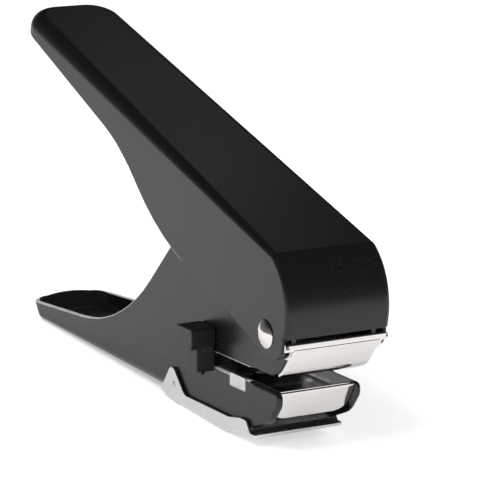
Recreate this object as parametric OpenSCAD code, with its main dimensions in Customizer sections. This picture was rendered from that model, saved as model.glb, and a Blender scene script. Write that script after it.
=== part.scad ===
// Hand punch for slots in id cards.
// Lengths are millimetres. X runs to the mouth of the throat, Y across the punch and Z up.
// Outlines are drawn with the throat level: X is measured from the mouth, Z from the throat's ceiling.
// The whole punch then leans back by stance_tilt, because it stands on its sloping chip tray.

/* [Body] */
// Outer width across the two side plates
body_w = 28.2; // [24:0.1:36]
// Sheet thickness of the body
body_t = 1.5; // [1:0.1:2]
// Distance from the mouth back to the rear rim
body_back = 163.5; // [140:0.5:200]
// Radius of the rear corners seen from above
body_corner_r = 4; // [3:0.5:8]
// Depth of the side plates below the throat's ceiling
body_drop = 18.2; // [17.5:0.1:19]
// Height of the side plates' hidden top above the throat's ceiling
body_top = 34; // [30:0.5:35]

/* [Throat] */
// Height of the throat where the card goes in
throat_h = 4; // [3.5:0.1:5]
// Depth of the throat from the mouth
throat_depth = 41.3; // [36:0.1:46]
// How far the stripper plate stands back above the side plates' edges
stripper_rise = 0.6; // [0.4:0.1:0.8]
// Thickness of the stripper plate
stripper_t = 1; // [0.8:0.1:1.4]

/* [Lever] */
// Gap between the lever and the body on each side
side_gap = 1.6; // [1.4:0.1:3]
// Sheet thickness of the lever
lever_t = 1.6; // [1.2:0.1:2]
// Length of the lever behind its pivot
lever_back = 179.5; // [160:0.5:220]
// Height of the lever's top face above its pivot
lever_rise = 24.4; // [24:0.1:26]
// Slope of the lever's top face when the lever is open
lever_pitch = 17.1; // [16:0.1:18]
// Narrowing of each side of the lever towards its rear, in degrees
lever_taper = 0.45; // [0.3:0.01:0.6]
// Radius of the rear corners seen from above
lever_corner_r = 11; // [6:0.5:14]
// Turn of the lever from open to squeezed
squeeze = 16.5; // [14:0.5:16.5]

/* [Pivot] */
// Pivot behind (-) or before (+) the mouth
pivot_x = 3; // [2.5:0.1:3.5]
// Pivot above the throat's ceiling
pivot_z = 13.7; // [13.4:0.1:14]
// Diameter of the pivot pin's shank
pivot_d = 6; // [5:0.1:6.6]
// Diameter of the pivot pin's domed heads
head_d = 8.8; // [8:0.1:10]
// Height of the domed heads
head_h = 1.8; // [1.2:0.1:2.2]

/* [Punch] */
// Length of the punched slot
slot_l = 15; // [12:0.5:16]
// Width of the punched slot
slot_w = 3.2; // [2.5:0.1:3.6]
// Centre of the punched slot behind the mouth
punch_back = 19.2; // [19:0.1:19.4]
// Diameter of the drive pin
drive_d = 4; // [3.6:0.1:4.2]
// Thickness of the punch guide
guide_t = 3.4; // [3:0.1:3.6]

/* [Spring] */
// Outer diameter of the return spring
spring_d = 10; // [9:0.1:10.4]
// Diameter of the spring wire
wire_d = 1.2; // [1:0.05:1.3]
// Number of turns
spring_turns = 6; // [5:0.5:7]

/* [Chip tray] */
// Sheet thickness of the tray
tray_t = 0.8; // [0.6:0.1:1]
// Gap between the tray and the body on each side
tray_gap = 0.2; // [0.2:0.05:0.4]

/* [Depth stop] */
// Length of the knob along the throat
knob_l = 9.7; // [8:0.1:10]
// How far the knob's head stands out from the body
knob_out = 8.5; // [7:0.1:10]

/* [Stance] */
// Tilt of the throat when the punch stands on its tray
stance_tilt = 3; // [2.5:0.1:3.5]

/* [Hidden] */
$fn = 48;

// Clearances
running = 0.05;   // radial gap of a pin in its hole
slip = 0.08;      // gap of the blade in its guide and die
beside = 0.05;    // gap between a fixed plate and the side plates
apart = 0.3;      // gap between pieces that pass each other

// Body
inner_half = body_w / 2 - body_t;
lever_w = body_w + 2 * (side_gap + lever_t);
rim_z = -10.5;
foot_back = body_back - 4.2;
trough_front = -66;
notch_front = -14.75;
notch_back = -23.75;
notch_z = -throat_h - 3.7;
floor_relief = 0.7;
jaw_front = 4.9;
nose_r = 9.4;
reach = 100;

// Chip tray: its flat floor is what the punch stands on
tray_pivot = [-57.5, -15.2];
flat_back = -54.5;
flat_front = -27.1;
flat_mid = (flat_back + flat_front) / 2;
flat_z = -22.05;
boss_r = 1.5;

// Die and stripper
plate_t = 1;
die_t = 3.6;
rivet_r = 1.2;
rivet_y = inner_half - 2 * rivet_r;
stripper_front = -0.8;

// Punch
punch_x = -punch_back;
blade_tip = 0.9;
holder_z = [11.7, 20.4];
holder_l = 8;
holder_w = 18;
blade_top = 14.5;
dowel_r = 0.9;
dowel_y = 4;
dowel_z = 13.1;
drive_rise = 3.2;
drive_reach = pivot_x - punch_x;
drive_swing = drive_reach * (1 / cos(squeeze / 2) - 1);

// Drive arm, in the lever's own frame
arm_half = inner_half - apart;
arm_t = 1.6;
spring_x = -34;
spring_top = 23.5;

// Stop pin
stop_r = 1.5;
stop_at = [-44, 27.65];

function unit(v) = v / norm(v);
function left_of(v) = [-v[1], v[0]];
function spot(v) = [v[0], v[1]];
function turned(v, a) = [v[0] * cos(a) - v[1] * sin(a), v[0] * sin(a) + v[1] * cos(a)];

// Arc that rounds the corner b between a and c with radius r
function corner(a, b, c, r) =
    let (
        d1 = unit(b - a),
        d2 = unit(c - b),
        turn = atan2(cross(d1, d2), d1 * d2),
        start = b - r * tan(abs(turn) / 2) * d1,
        centre = start + sign(turn) * r * left_of(d1),
        steps = ceil(abs(turn) / 12)
    )
    r == 0 || abs(turn) < 0.5
        ? [b]
        : [for (i = [0:steps]) centre + turned(start - centre, turn * i / steps)];

// Closed outline through corners [x, z, r]
function outline(p) =
    let (n = len(p))
    [for (i = [0:n - 1])
        for (q = corner(spot(p[(i + n - 1) % n]), spot(p[i]), spot(p[(i + 1) % n]), p[i][2])) q];

// Open path through corners [x, z, r], its two ends left sharp
function path(p) =
    let (n = len(p))
    concat(
        [spot(p[0])],
        [for (i = [1:n - 2]) for (q = corner(spot(p[i - 1]), spot(p[i]), spot(p[i + 1]), p[i][2])) q],
        [spot(p[n - 1])]
    );

// The same open path moved by t to its left (right if t is negative)
function beside_path(p, t) =
    let (n = len(p))
    [for (i = [0:n - 1])
        let (
            d1 = unit(spot(p[max(i, 1)]) - spot(p[max(i, 1) - 1])),
            d2 = unit(spot(p[min(i, n - 2) + 1]) - spot(p[min(i, n - 2)])),
            q = spot(p[i]) + t * (left_of(d1) + left_of(d2)) / (1 + d1 * d2),
            side = sign(cross(d1, d2))
        )
        [q[0], q[1], max(0, p[i][2] - side * t)]];

function backwards(p) = [for (i = [len(p) - 1:-1:0]) p[i]];

// Section of a bent sheet whose one face follows the path
function sheet(p, t) = concat(path(p), backwards(path(beside_path(p, t))));

// Height of the table under the level throat
function table_z(x) = flat_z - tan(stance_tilt) * (x - flat_mid);

module standing() {
    rotate([0, -stance_tilt, 0]) translate([-flat_mid, 0, -flat_z]) children();
}

// Lever frame: origin on the pivot, X along the lever's top face
module on_lever() {
    standing() translate([pivot_x, 0, pivot_z]) rotate([0, lever_pitch, 0]) children();
}

// Extrudes an X-Z outline between two places across the punch
module across(y0, y1) {
    translate([0, y1, 0]) rotate([90, 0, 0]) linear_extrude(y1 - y0) children();
}

module both_sides() {
    children();
    mirror([0, 1, 0]) children();
}

module cross_bar(x, z, r, half) {
    translate([x, 0, z]) rotate([90, 0, 0]) cylinder(h = 2 * half, r = r, center = true);
}

// Slot with round ends that lies across the punch
module slot_block(l, w, z0, z1) {
    translate([punch_x, 0, z0]) linear_extrude(z1 - z0) {
        square([w, l - w], center = true);
        translate([0, (l - w) / 2]) circle(d = w);
        translate([0, -(l - w) / 2]) circle(d = w);
    }
}

module rivet_pair(r, z0, z1) {
    both_sides() translate([punch_x, rivet_y, z0]) cylinder(h = z1 - z0, r = r);
}

body_outline = [
    [-foot_back, table_z(-foot_back), 3],
    [trough_front, -18.5, 0],
    [-61, -body_drop, 0],
    [-10.5, -body_drop, 2],
    [0.2, -throat_h - 9.9, 9],
    [5, -throat_h - 3.8, 4],
    [jaw_front, -throat_h, 1.9],
    [0, -throat_h, 0],
    [0, 0, 1],
    [6.6, 2.6, 8],
    [11.3, 8.2, 4],
    [pivot_x + nose_r, 13, 3],
    [pivot_x + nose_r, pivot_z + nose_r, nose_r],
    [-54, body_top, 6],
    [-95.7, -6, 78],
    [-body_back, rim_z, 1.5]
];

module body_plan(half, back, r) {
    translate([0, 0, -reach]) linear_extrude(2 * reach)
        polygon(outline([[-back, -half, r], [reach, -half, 0], [reach, half, 0], [-back, half, r]]));
}

// Space between the side plates, open at the top, and below in front of the trough
module body_pocket() {
    foot = [-foot_back, table_z(-foot_back)];
    rim = [-body_back, rim_z];
    up = foot + 8 * (rim - foot);
    bend = beside_path([[up[0], up[1], 0], [foot[0], foot[1], 3], [trough_front, -18.5, 0]], body_t);
    inside = path(bend);
    last = inside[len(inside) - 1];
    beyond = [[last[0], -reach], [reach, -reach], [reach, reach], [inside[0][0], reach]];
    intersection() {
        across(-reach, reach) polygon(concat(inside, beyond));
        body_plan(inner_half, body_back - body_t, body_corner_r - body_t);
    }
}

module throat_cut() {
    w = body_w + 2;
    translate([-throat_depth, -w / 2, -throat_h - 0.02]) cube([throat_depth + 20, w, throat_h + 0.02]);
    translate([-throat_depth, -w / 2, -throat_h - floor_relief])
        cube([throat_depth + notch_front, w, throat_h + floor_relief]);
    translate([notch_back, -w / 2, notch_z]) cube([notch_front - notch_back, w, -notch_z]);
}

module body_shell() {
    color("#3c3d40") standing() difference() {
        intersection() {
            across(-body_w / 2, body_w / 2) polygon(outline(body_outline));
            body_plan(body_w / 2, body_back, body_corner_r);
        }
        body_pocket();
        throat_cut();
        cross_bar(pivot_x, pivot_z, pivot_d / 2 + running, body_w);
        cross_bar(stop_at[0], stop_at[1], stop_r + running, body_w);
        cross_bar(tray_pivot[0], tray_pivot[1], boss_r + running, body_w);
    }
}

upper_nose = [[1.9, 0.8, 0], [6.6, 2.6, 8], [10.9, 7.8, 3], [13.7, 11.4, 0]];
nose_t = 0.9;
nose_gap = 0.1;
ear_gap = 0.1;
ear_t = 1.1;

// Lobe on each side, in front of the edges of the lever's side walls
lobe = [[12.8, 8.9, 0.4], [14.4, 11.4, 0], [13.8, 12.6, 0.3], [13.4, 12.6, 0], [13.1, 10.6, 0]];

module upper_nose_plate() {
    half = body_w / 2 + 0.3;
    bead_r = 0.65;
    bead_half = lever_w / 2 - 1;
    ear = body_w / 2 + ear_gap;
    color("#e3e1e0") standing() {
        difference() {
            across(-half, half) polygon(sheet(beside_path(upper_nose, -nose_gap), -nose_t));
            both_sides() translate([0, half - 4.5, 0.4 - nose_t]) rotate([0, 90, 0]) difference() {
                translate([-4.5, 0, -1]) cube([9, 9, 12]);
                translate([-4.5, 0, -2]) cylinder(h = 14, r = 4.5);
                translate([-9, 0, -2]) cube([4.5, 4.5, 14]);
            }
        }
        cross_bar(14.35, 12.45, bead_r, bead_half);
        across(-bead_half, bead_half) polygon([[13.2, 10.8], [14.2, 10.8], [15, 12.45], [13.75, 12.45]]);
        both_sides() across(ear, ear + ear_t)
            polygon(outline([[9.3, 7.7, 2], [12, 7.7, 0.5], [14.4, 11.4, 0], [13.8, 12.6, 0], [9.3, 12.6, 2]]));
        both_sides() across(ear, lever_w / 2 - 0.3) polygon(outline(lobe));
    }
}

lower_nose = [[-33, -throat_h, 0], [4.3, -throat_h, 0.8], [-2, -throat_h - 9.8, 0]];

module lower_nose_plate() {
    half = inner_half - beside;
    color("#e3e1e0") standing() difference() {
        across(-half, half) polygon(sheet(lower_nose, -plate_t));
        slot_block(slot_l + 0.6, slot_w + 0.6, -throat_h - plate_t - 1, 0);
        rivet_pair(rivet_r + running, -throat_h - plate_t - 1, 0);
    }
}

module die_block() {
    top = -throat_h - plate_t;
    l = notch_front - notch_back - 2 * beside;
    color("#b9babd") standing() difference() {
        translate([notch_back + beside, 0, 0]) {
            translate([0, -inner_half + beside, top - die_t]) cube([l, 2 * (inner_half - beside), die_t]);
            translate([0, -body_w / 2, notch_z + beside]) cube([l, body_w, top - notch_z - beside]);
            both_sides() translate([0, inner_half, notch_z + beside])
                cube([l, body_t, -throat_h - notch_z - beside]);
        }
        slot_block(slot_l + 2 * slip, slot_w + 2 * slip, top - die_t - 1, top + 1);
        slot_block(slot_l + 0.8, slot_w + 0.8, top - die_t - 1, top - 2);
        rivet_pair(rivet_r + running, top - die_t - 1, top + 1);
    }
}

module die_rivets() {
    color("#c8c8ca") standing() rivet_pair(rivet_r, -throat_h - plate_t - die_t, -throat_h);
}

module stripper_plate() {
    half = inner_half - beside;
    l = stripper_front + throat_depth;
    color("#a9aaad") standing() difference() {
        translate([-throat_depth, -half, stripper_rise]) cube([l, 2 * half, stripper_t]);
        slot_block(slot_l + 0.6, slot_w + 0.6, 0, 3);
        rivet_pair(rivet_r + running, 0, 3);
        translate([spring_x, 0, 0]) cylinder(h = 3, r = 2 + running);
    }
}

guide_z = stripper_rise + stripper_t;

module punch_guide() {
    half = inner_half - beside;
    color("#8f9094") standing() difference() {
        translate([-27, -half, guide_z]) cube([15.6, 2 * half, guide_t]);
        slot_block(slot_l + 2 * slip, slot_w + 2 * slip, 0, 10);
        rivet_pair(rivet_r + running, 0, 10);
    }
}

module guide_rivets() {
    color("#c8c8ca") standing() rivet_pair(rivet_r, stripper_rise, guide_z + guide_t);
}

module punch_blade() {
    color("#9a9ba0") standing() difference() {
        slot_block(slot_l, slot_w, blade_tip, blade_top);
        both_sides() translate([punch_x - holder_l, dowel_y, dowel_z]) rotate([0, 90, 0])
            cylinder(h = 2 * holder_l, r = dowel_r + 0.02);
    }
}

module punch_holder() {
    drive_z = pivot_z + drive_rise;
    color("#6e7075") standing() difference() {
        translate([punch_x - holder_l / 2, -holder_w / 2, holder_z[0]])
            cube([holder_l, holder_w, holder_z[1] - holder_z[0]]);
        slot_block(slot_l + 0.06, slot_w + 0.06, 0, blade_top + 0.03);
        both_sides() translate([punch_x - holder_l, dowel_y, dowel_z]) rotate([0, 90, 0])
            cylinder(h = 2 * holder_l, r = dowel_r + 0.02);
        across(-holder_w, holder_w) translate([punch_x - drive_swing / 2, drive_z]) {
            square([2 * drive_swing, drive_d + 0.3], center = true);
            translate([drive_swing, 0]) circle(d = drive_d + 0.3);
            translate([-drive_swing, 0]) circle(d = drive_d + 0.3);
        }
    }
}

module punch_dowels() {
    color("#c8c8ca") standing() both_sides()
        translate([punch_x - holder_l / 2, dowel_y, dowel_z]) rotate([0, 90, 0]) cylinder(h = holder_l, r = dowel_r);
}

module drive_pin() {
    color("#c8c8ca") standing() cross_bar(punch_x, pivot_z + drive_rise, drive_d / 2, arm_half);
}

// Centre of the drive pin seen from the pivot, in the lever's frame
drive_at = turned([-drive_reach, drive_rise], lever_pitch);
arm_boss = 3.6;
pivot_boss = 6;

arm_cheek = [
    [-50.2, -6.2, 1],
    [drive_at[0], drive_at[1] - arm_boss, 0],
    [0, -pivot_boss, 0],
    [pivot_boss, 0, 0],
    [-4, lever_rise - lever_t, 3],
    [-40, lever_rise - lever_t, 0],
    [-42.1, 14.7, 6],
    [-44.7, -0.8, 2],
    [-50.2, -2.6, 1]
];

module drive_arm() {
    color("#54565b") on_lever() {
        difference() {
            union() {
                both_sides() across(arm_half - arm_t, arm_half) {
                    polygon(outline(arm_cheek));
                    circle(r = pivot_boss);
                    translate(drive_at) circle(r = arm_boss);
                }
                translate([-40, -arm_half, lever_rise - lever_t - arm_t]) cube([33, 2 * arm_half, arm_t]);
            }
            cross_bar(0, 0, pivot_d / 2 + running, body_w);
            cross_bar(drive_at[0], drive_at[1], drive_d / 2 + running, body_w);
        }
        // Shelf that presses the spring, level when the lever is open
        rotate([0, -lever_pitch, 0]) translate([-pivot_x, 0, -pivot_z])
            translate([spring_x - 6, -arm_half + arm_t / 2, spring_top]) cube([12, 2 * arm_half - arm_t, 1.5]);
    }
}

lever_lip = [11.2, 3.7];
lever_web = [
    [-lever_back, lever_rise - 6.7, 0],
    [-lever_back, lever_rise, 3],
    [-3.2, lever_rise, 4],
    [9.3, 19.05, 21],
    [lever_lip[0], lever_lip[1], 0]
];
lever_edge = [
    [9.9, 2.4, 1],
    [9.9, -1.7, 3],
    [5.6, -6.4, 8],
    [-70.5, -3.8, 85],
    [-100.7, 10.9, 70]
];

module lever_plan(inset) {
    half_nose = lever_w / 2 - inset;
    front = 40;
    spread = tan(lever_taper);
    rear_half = half_nose - spread * (lever_back - inset);
    front_half = half_nose + spread * front;
    r = lever_corner_r - inset;
    translate([0, 0, -reach]) linear_extrude(2 * reach) polygon(outline([
        [-lever_back + inset, -rear_half, r], [front, -front_half, 0],
        [front, front_half, 0], [-lever_back + inset, rear_half, r]
    ]));
}

module lever_shell() {
    inside = path(beside_path(lever_web, -lever_t));
    lip_end = inside[len(inside) - 1];
    below = [[lever_lip[0] + 10, lip_end[1]], [lever_lip[0] + 10, -reach], [-lever_back + lever_t, -reach]];
    color("#26272a") on_lever() difference() {
        intersection() {
            across(-reach, reach) polygon(outline(concat(lever_web, lever_edge)));
            lever_plan(0);
        }
        intersection() {
            across(-reach, reach) polygon(concat(inside, below));
            lever_plan(lever_t);
        }
        cross_bar(0, 0, pivot_d / 2 + running, lever_w);
    }
}

module pivot_pin() {
    dome_r = (pow(head_d / 2, 2) + pow(head_h, 2)) / (2 * head_h);
    half = lever_w / 2 + head_d / 2 * tan(lever_taper) + 0.02;
    color("#dcdcde") standing() translate([pivot_x, 0, pivot_z]) {
        rotate([90, 0, 0]) cylinder(h = 2 * half + head_h / 2, d = pivot_d, center = true);
        both_sides() intersection() {
            translate([0, half + head_h - dome_r, 0]) sphere(r = dome_r);
            translate([-head_d, half, -head_d]) cube([2 * head_d, head_h + 1, 2 * head_d]);
        }
    }
}

module pivot_washers() {
    washer_r = 5.4;
    inner = body_w / 2 + 0.12;
    outer = lever_w / 2 - lever_t - 0.05;
    color("#b9babd") standing() translate([pivot_x, 0, pivot_z]) both_sides()
        translate([0, outer, 0]) rotate([90, 0, 0]) difference() {
            cylinder(h = outer - inner, r = washer_r);
            translate([0, 0, -1]) cylinder(h = outer - inner + 2, r = pivot_d / 2 + running);
        }
}

module pivot_sleeve() {
    half = arm_half - arm_t - beside;
    color("#b9babd") standing() translate([pivot_x, 0, pivot_z]) rotate([90, 0, 0]) difference() {
        cylinder(h = 2 * half, r = pivot_d / 2 + 1.5, center = true);
        cylinder(h = 2 * half + 2, r = pivot_d / 2 + running, center = true);
    }
}

seat_t = 1;
spring_z0 = guide_z + seat_t + running;
spring_z1 = spring_top - running;
coil_r = (spring_d - wire_d) / 2;
coil_rise = (spring_z1 - spring_z0 - wire_d) / spring_turns;
ring_sides = 6;
rings_per_turn = 8;
ring_count = rings_per_turn * spring_turns + 1;
echo(spring_least_gap = coil_rise * cos(atan(coil_rise / (2 * PI * coil_r))) - wire_d);

// Corner k of ring i on the spring wire
function wire_point(i, k) =
    let (
        turn = 360 * i / rings_per_turn,
        a = 360 * k / ring_sides,
        r = coil_r + wire_d / 2 * cos(a)
    )
    [r * cos(turn), r * sin(turn),
        spring_z0 + wire_d / 2 + coil_rise * i / rings_per_turn + wire_d / 2 * sin(a)];

module return_spring() {
    points = [for (i = [0:ring_count - 1]) for (k = [0:ring_sides - 1]) wire_point(i, k)];
    ends = [[for (k = [0:ring_sides - 1]) k],
        [for (k = [ring_sides - 1:-1:0]) (ring_count - 1) * ring_sides + k]];
    walls = [for (i = [0:ring_count - 2]) for (k = [0:ring_sides - 1])
        let (a = i * ring_sides + k, b = i * ring_sides + (k + 1) % ring_sides)
            each [[a, a + ring_sides, b], [b, a + ring_sides, b + ring_sides]]];
    color("#9a9ba0") standing() translate([spring_x, 0, 0]) polyhedron(points, concat(ends, walls));
}

module spring_seat() {
    spigot_r = coil_r - wire_d / 2 - 0.4;
    color("#8f9094") standing() translate([spring_x, 0, 0]) {
        translate([0, 0, guide_z]) cylinder(h = seat_t, r = spring_d / 2 + 1);
        translate([0, 0, guide_z]) cylinder(h = 3.5, r = spigot_r);
        translate([0, 0, stripper_rise]) cylinder(h = 2, r = 2);
    }
}

module stop_pin() {
    color("#c8c8ca") standing() cross_bar(stop_at[0], stop_at[1], stop_r, body_w / 2);
}

// Floor of the tray, with the front lip
tray_floor = [
    [flat_back, table_z(flat_back), 0],
    [flat_front, table_z(flat_front), 1.5],
    [-15.4, -20.8, 3],
    [-7.4, -20.6, 0.9],
    [-7.4, -19.3, 0]
];
tray_wall = [
    [-65.9, -19.1, 1],
    [flat_back, table_z(flat_back), 1],
    [flat_front, table_z(flat_front), 1.5],
    [-15.4, -20.8, 3],
    [-7.4, -20.6, 0.9],
    [-7.4, -19.3, 0],
    [-10.2, -19.3, 1],
    [-12.6, -16, 1],
    [-16.3, -16, 1],
    [-23, -17.3, 4],
    [-51, -17.3, 4],
    [-59.1, -8.9, 2.6],
    [-66.4, -18.7, 0.4]
];

module chip_tray() {
    inner = body_w / 2 + tray_gap;
    outer = inner + tray_t;
    color("#dedede") standing() {
        across(-outer, outer) polygon(sheet(tray_floor, tray_t));
        both_sides() {
            across(inner, outer) polygon(outline(tray_wall));
            translate([tray_pivot[0], inner + tray_t / 2, tray_pivot[1]]) rotate([90, 0, 0])
                cylinder(h = tray_gap + tray_t / 2 + body_t, r = boss_r);
        }
    }
}

// Depth stop: bar across the throat, knob on the near side, cap and screw on the far side
bar_l = 7;
bar_back = -throat_depth + 0.6;
bar_z = [-throat_h + apart, -apart - 0.1];
knob_x = bar_back + bar_l / 2 - knob_l / 2 + 0.2;
screw_r = 1.25;
screw_at = [bar_back + bar_l / 2, (bar_z[0] + bar_z[1]) / 2];
cap_t = 1.5;

module depth_stop_bar() {
    color("#8f9094") standing() difference() {
        translate([bar_back, -body_w / 2 - apart, bar_z[0]])
            cube([bar_l, body_w + 2 * apart, bar_z[1] - bar_z[0]]);
        translate([screw_at[0], 0, screw_at[1]]) rotate([-90, 0, 0]) cylinder(h = body_w, r = screw_r + running);
    }
}

module depth_stop_knob() {
    back = body_w / 2 + apart;
    color("#202124") standing() mirror([0, 1, 0]) {
        across(back, body_w / 2 + knob_out) polygon(outline([
            [knob_x, 1.2, 2.2], [knob_x + knob_l, 1.2, 2.2], [knob_x + knob_l, 8, 0.6], [knob_x, 8, 0.6]
        ]));
        translate([knob_x + 0.8, back, -5.7]) cube([knob_l - 1.6, knob_out - 2.5, 8.7]);
        translate([knob_x + 0.8, back + knob_out - 3.9, -6.5]) cube([knob_l - 1.6, 1.4, 1]);
    }
}

module depth_stop_cap() {
    back = body_w / 2 + apart;
    color("#202124") standing() difference() {
        across(back, back + cap_t) polygon(outline([
            [knob_x, -6, 1.5], [knob_x + knob_l, -6, 1.5], [knob_x + knob_l, 2.2, 1.5], [knob_x, 2.2, 1.5]
        ]));
        translate([screw_at[0], 0, screw_at[1]]) rotate([-90, 0, 0]) cylinder(h = body_w, r = screw_r + running);
    }
}

module depth_stop_screw() {
    seat = body_w / 2 + apart + cap_t;
    shank_l = 9;
    color("#c8c8ca") standing() translate([screw_at[0], 0, screw_at[1]]) rotate([-90, 0, 0]) {
        translate([0, 0, seat - shank_l]) cylinder(h = shank_l, r = screw_r);
        difference() {
            translate([0, 0, seat]) cylinder(h = 1.3, r = 2.3);
            translate([-3, -0.3, seat + 0.6]) cube([6, 0.6, 1]);
        }
    }
}

body_shell();
upper_nose_plate();
lower_nose_plate();
die_block();
die_rivets();
stripper_plate();
punch_guide();
guide_rivets();
punch_blade();
punch_holder();
punch_dowels();
drive_pin();
drive_arm();
lever_shell();
pivot_pin();
pivot_washers();
pivot_sleeve();
return_spring();
spring_seat();
stop_pin();
chip_tray();
depth_stop_bar();
depth_stop_knob();
depth_stop_cap();
depth_stop_screw();
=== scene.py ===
# %% [markdown]
# # A hand punch for slots in id cards
# This lesson dresses a finished CAD model. The CAD nodes give the true sizes, and each cell below
# makes one piece or one finish on top of them. The punch has a pressed steel body painted black,
# a painted lever folded from one sheet, two chromed nose plates, a plated chip tray and a small
# plastic depth stop. Blender is only used for looks, so nothing here changes a size.

import math

import bmesh
import bpy
from mathutils import Matrix, Vector
from mathutils.geometry import delaunay_2d_cdt


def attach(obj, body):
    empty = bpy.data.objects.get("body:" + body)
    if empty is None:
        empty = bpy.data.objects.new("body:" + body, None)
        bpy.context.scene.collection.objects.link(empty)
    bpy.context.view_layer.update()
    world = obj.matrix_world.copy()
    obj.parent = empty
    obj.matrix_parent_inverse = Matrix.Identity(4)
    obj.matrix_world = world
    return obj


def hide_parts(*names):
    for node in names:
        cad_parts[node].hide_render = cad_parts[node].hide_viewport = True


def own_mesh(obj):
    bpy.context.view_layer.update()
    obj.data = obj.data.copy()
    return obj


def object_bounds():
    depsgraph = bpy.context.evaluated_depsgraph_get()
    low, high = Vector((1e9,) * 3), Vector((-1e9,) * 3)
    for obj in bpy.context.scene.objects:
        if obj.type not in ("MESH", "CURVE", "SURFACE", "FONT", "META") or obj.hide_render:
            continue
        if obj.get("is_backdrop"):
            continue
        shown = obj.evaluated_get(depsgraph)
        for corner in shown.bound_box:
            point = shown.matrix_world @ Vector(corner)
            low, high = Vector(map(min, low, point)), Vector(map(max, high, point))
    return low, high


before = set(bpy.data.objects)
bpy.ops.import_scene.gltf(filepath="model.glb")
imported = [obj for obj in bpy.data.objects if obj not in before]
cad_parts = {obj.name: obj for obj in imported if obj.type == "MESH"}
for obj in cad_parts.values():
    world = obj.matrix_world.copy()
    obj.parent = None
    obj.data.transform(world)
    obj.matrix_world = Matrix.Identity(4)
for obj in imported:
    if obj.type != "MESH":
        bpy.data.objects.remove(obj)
cad_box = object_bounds()

# %% [markdown]
# ## Where things are
# The outlines of pressed parts are easiest to draw with the throat level: X is measured from the
# mouth of the throat, Z from its ceiling. The finished punch leans back by 3 degrees, because it
# stands on its sloping tray. One matrix carries a drawing from that level frame to the place where
# the CAD model stands, and a second one does the same for the lever, which is drawn along its top.

# %% Frames for drawing
MM = 0.001
LEAN = math.radians(3)
FLAT_MID, FLAT_Z = -40.8, -22.05  # the middle of the tray's floor, which touches the ground
PIVOT = Vector((3, 0, 13.7))
PITCH = math.radians(17.1)

STANDING = (Matrix.Scale(MM, 4) @ Matrix.Rotation(-LEAN, 4, "Y")
            @ Matrix.Translation((-FLAT_MID, 0, -FLAT_Z)))
ON_LEVER = STANDING @ Matrix.Translation(PIVOT) @ Matrix.Rotation(PITCH, 4, "Y")
print("pivot stands at", [round(v, 4) for v in STANDING @ PIVOT])

# %% [markdown]
# ## Rounded corners
# Sheet metal has no sharp bends: each corner is an arc of a known radius. One function makes that
# arc between three points, and it works as well in a flat outline as in space. Closed outlines and
# open paths are then lists of corners, each with its own radius.

# %% Arcs, outlines and paths
STRAIGHT = 0.01  # a smaller turn, in radians, is no corner
DEGREES_A_STEP = 5
REACH = 9  # a length beyond any corner's radius


def bend(a, b, c, radius, steps):
    """Points of the arc that rounds corner b between a and c."""
    d1, d2 = (b - a).normalized(), (c - b).normalized()
    turn = d1.angle(d2)
    if radius == 0 or turn < STRAIGHT:
        return [b.copy()]
    side = (d2 - d1 * d1.dot(d2)).normalized()
    centre = b - d1 * radius * math.tan(turn / 2) + side * radius
    angles = [turn * i / steps for i in range(steps + 1)]
    return [centre + (d1 * math.sin(t) - side * math.cos(t)) * radius for t in angles]


def rounded(a, b, c):
    """The same arc in a flat outline of [x, z, radius] corners, with a step every few degrees."""
    a2, b2, c2 = Vector(a[:2]), Vector(b[:2]), Vector(c[:2])
    turn = math.degrees((b2 - a2).angle(c2 - b2))
    return bend(a2, b2, c2, b[2], max(2, math.ceil(turn / DEGREES_A_STEP)))


def outline(corners):
    """Closed outline through corners [x, z, radius]."""
    n = len(corners)
    return [q for i in range(n)
            for q in rounded(corners[i - 1], corners[i], corners[(i + 1) % n])]


def path(corners):
    """Open path through corners [x, z, radius]; its two ends stay sharp."""
    inner = [q for i in range(1, len(corners) - 1)
             for q in rounded(corners[i - 1], corners[i], corners[i + 1])]
    return [Vector(corners[0][:2])] + inner + [Vector(corners[-1][:2])]


def beside(corners, t):
    """The same open path moved by t to its left."""
    moved = []
    last = len(corners) - 1
    for i, (x, z, r) in enumerate(corners):
        lo, hi = max(i, 1), min(i, last - 1)
        d1 = (Vector(corners[lo][:2]) - Vector(corners[lo - 1][:2])).normalized()
        d2 = (Vector(corners[hi + 1][:2]) - Vector(corners[hi][:2])).normalized()
        left = Vector((-d1.y, d1.x)) + Vector((-d2.y, d2.x))
        q = Vector((x, z)) + left * t / (1 + d1.dot(d2))
        turn = d1.x * d2.y - d1.y * d2.x
        moved.append([q.x, q.y, max(0, r - math.copysign(t, t * turn) if turn else r)])
    return moved


def inward(points, i):
    """Direction to the right of a path at its point i."""
    a, b = points[max(i - 1, 0)], points[min(i + 1, len(points) - 1)]
    d = (b - a).normalized()
    return Vector((d.y, -d.x))


print("a square corner has", len(rounded((0, 0), (9, 0, 1), (9, 9))), "points")

# %% [markdown]
# ## From skin to sheet
# A pressed part is drawn as the thin skin of its outside. Solidify gives it the sheet's thickness,
# and its cut edges then need rounding, because no real edge is a perfect corner. Here that is done
# one by one: each cut edge is a ladder of rungs between the outer and the inner skin, and every
# rung
# becomes a small arc. A radius that is a function of the place makes the jaws soft and a plain cut
# nearly sharp. Paint hardly holds on such a cut, so its faces can take a second material: bare
# metal, made pale as a painted highlight.
# Last, weighted normals keep the large faces truly flat in reflections.

# %% Draw a piece and settle it
MERGE, FINE_MERGE, SOLID_MERGE, PEG_MERGE = 0.03, 0.005, 0.001, 0.0005


def join_near(bm, dist):
    """Merges vertices that are nearly in one place."""
    bmesh.ops.remove_doubles(bm, verts=bm.verts, dist=dist)


def face_out(bm):
    """Turns the faces of closed shells outwards."""
    bmesh.ops.recalc_face_normals(bm, faces=bm.faces)


def put(name, data):
    """Puts an object with this mesh, lamp or camera into the scene."""
    thing = bpy.data.objects.new(name, data)
    bpy.context.scene.collection.objects.link(thing)
    return thing


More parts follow.
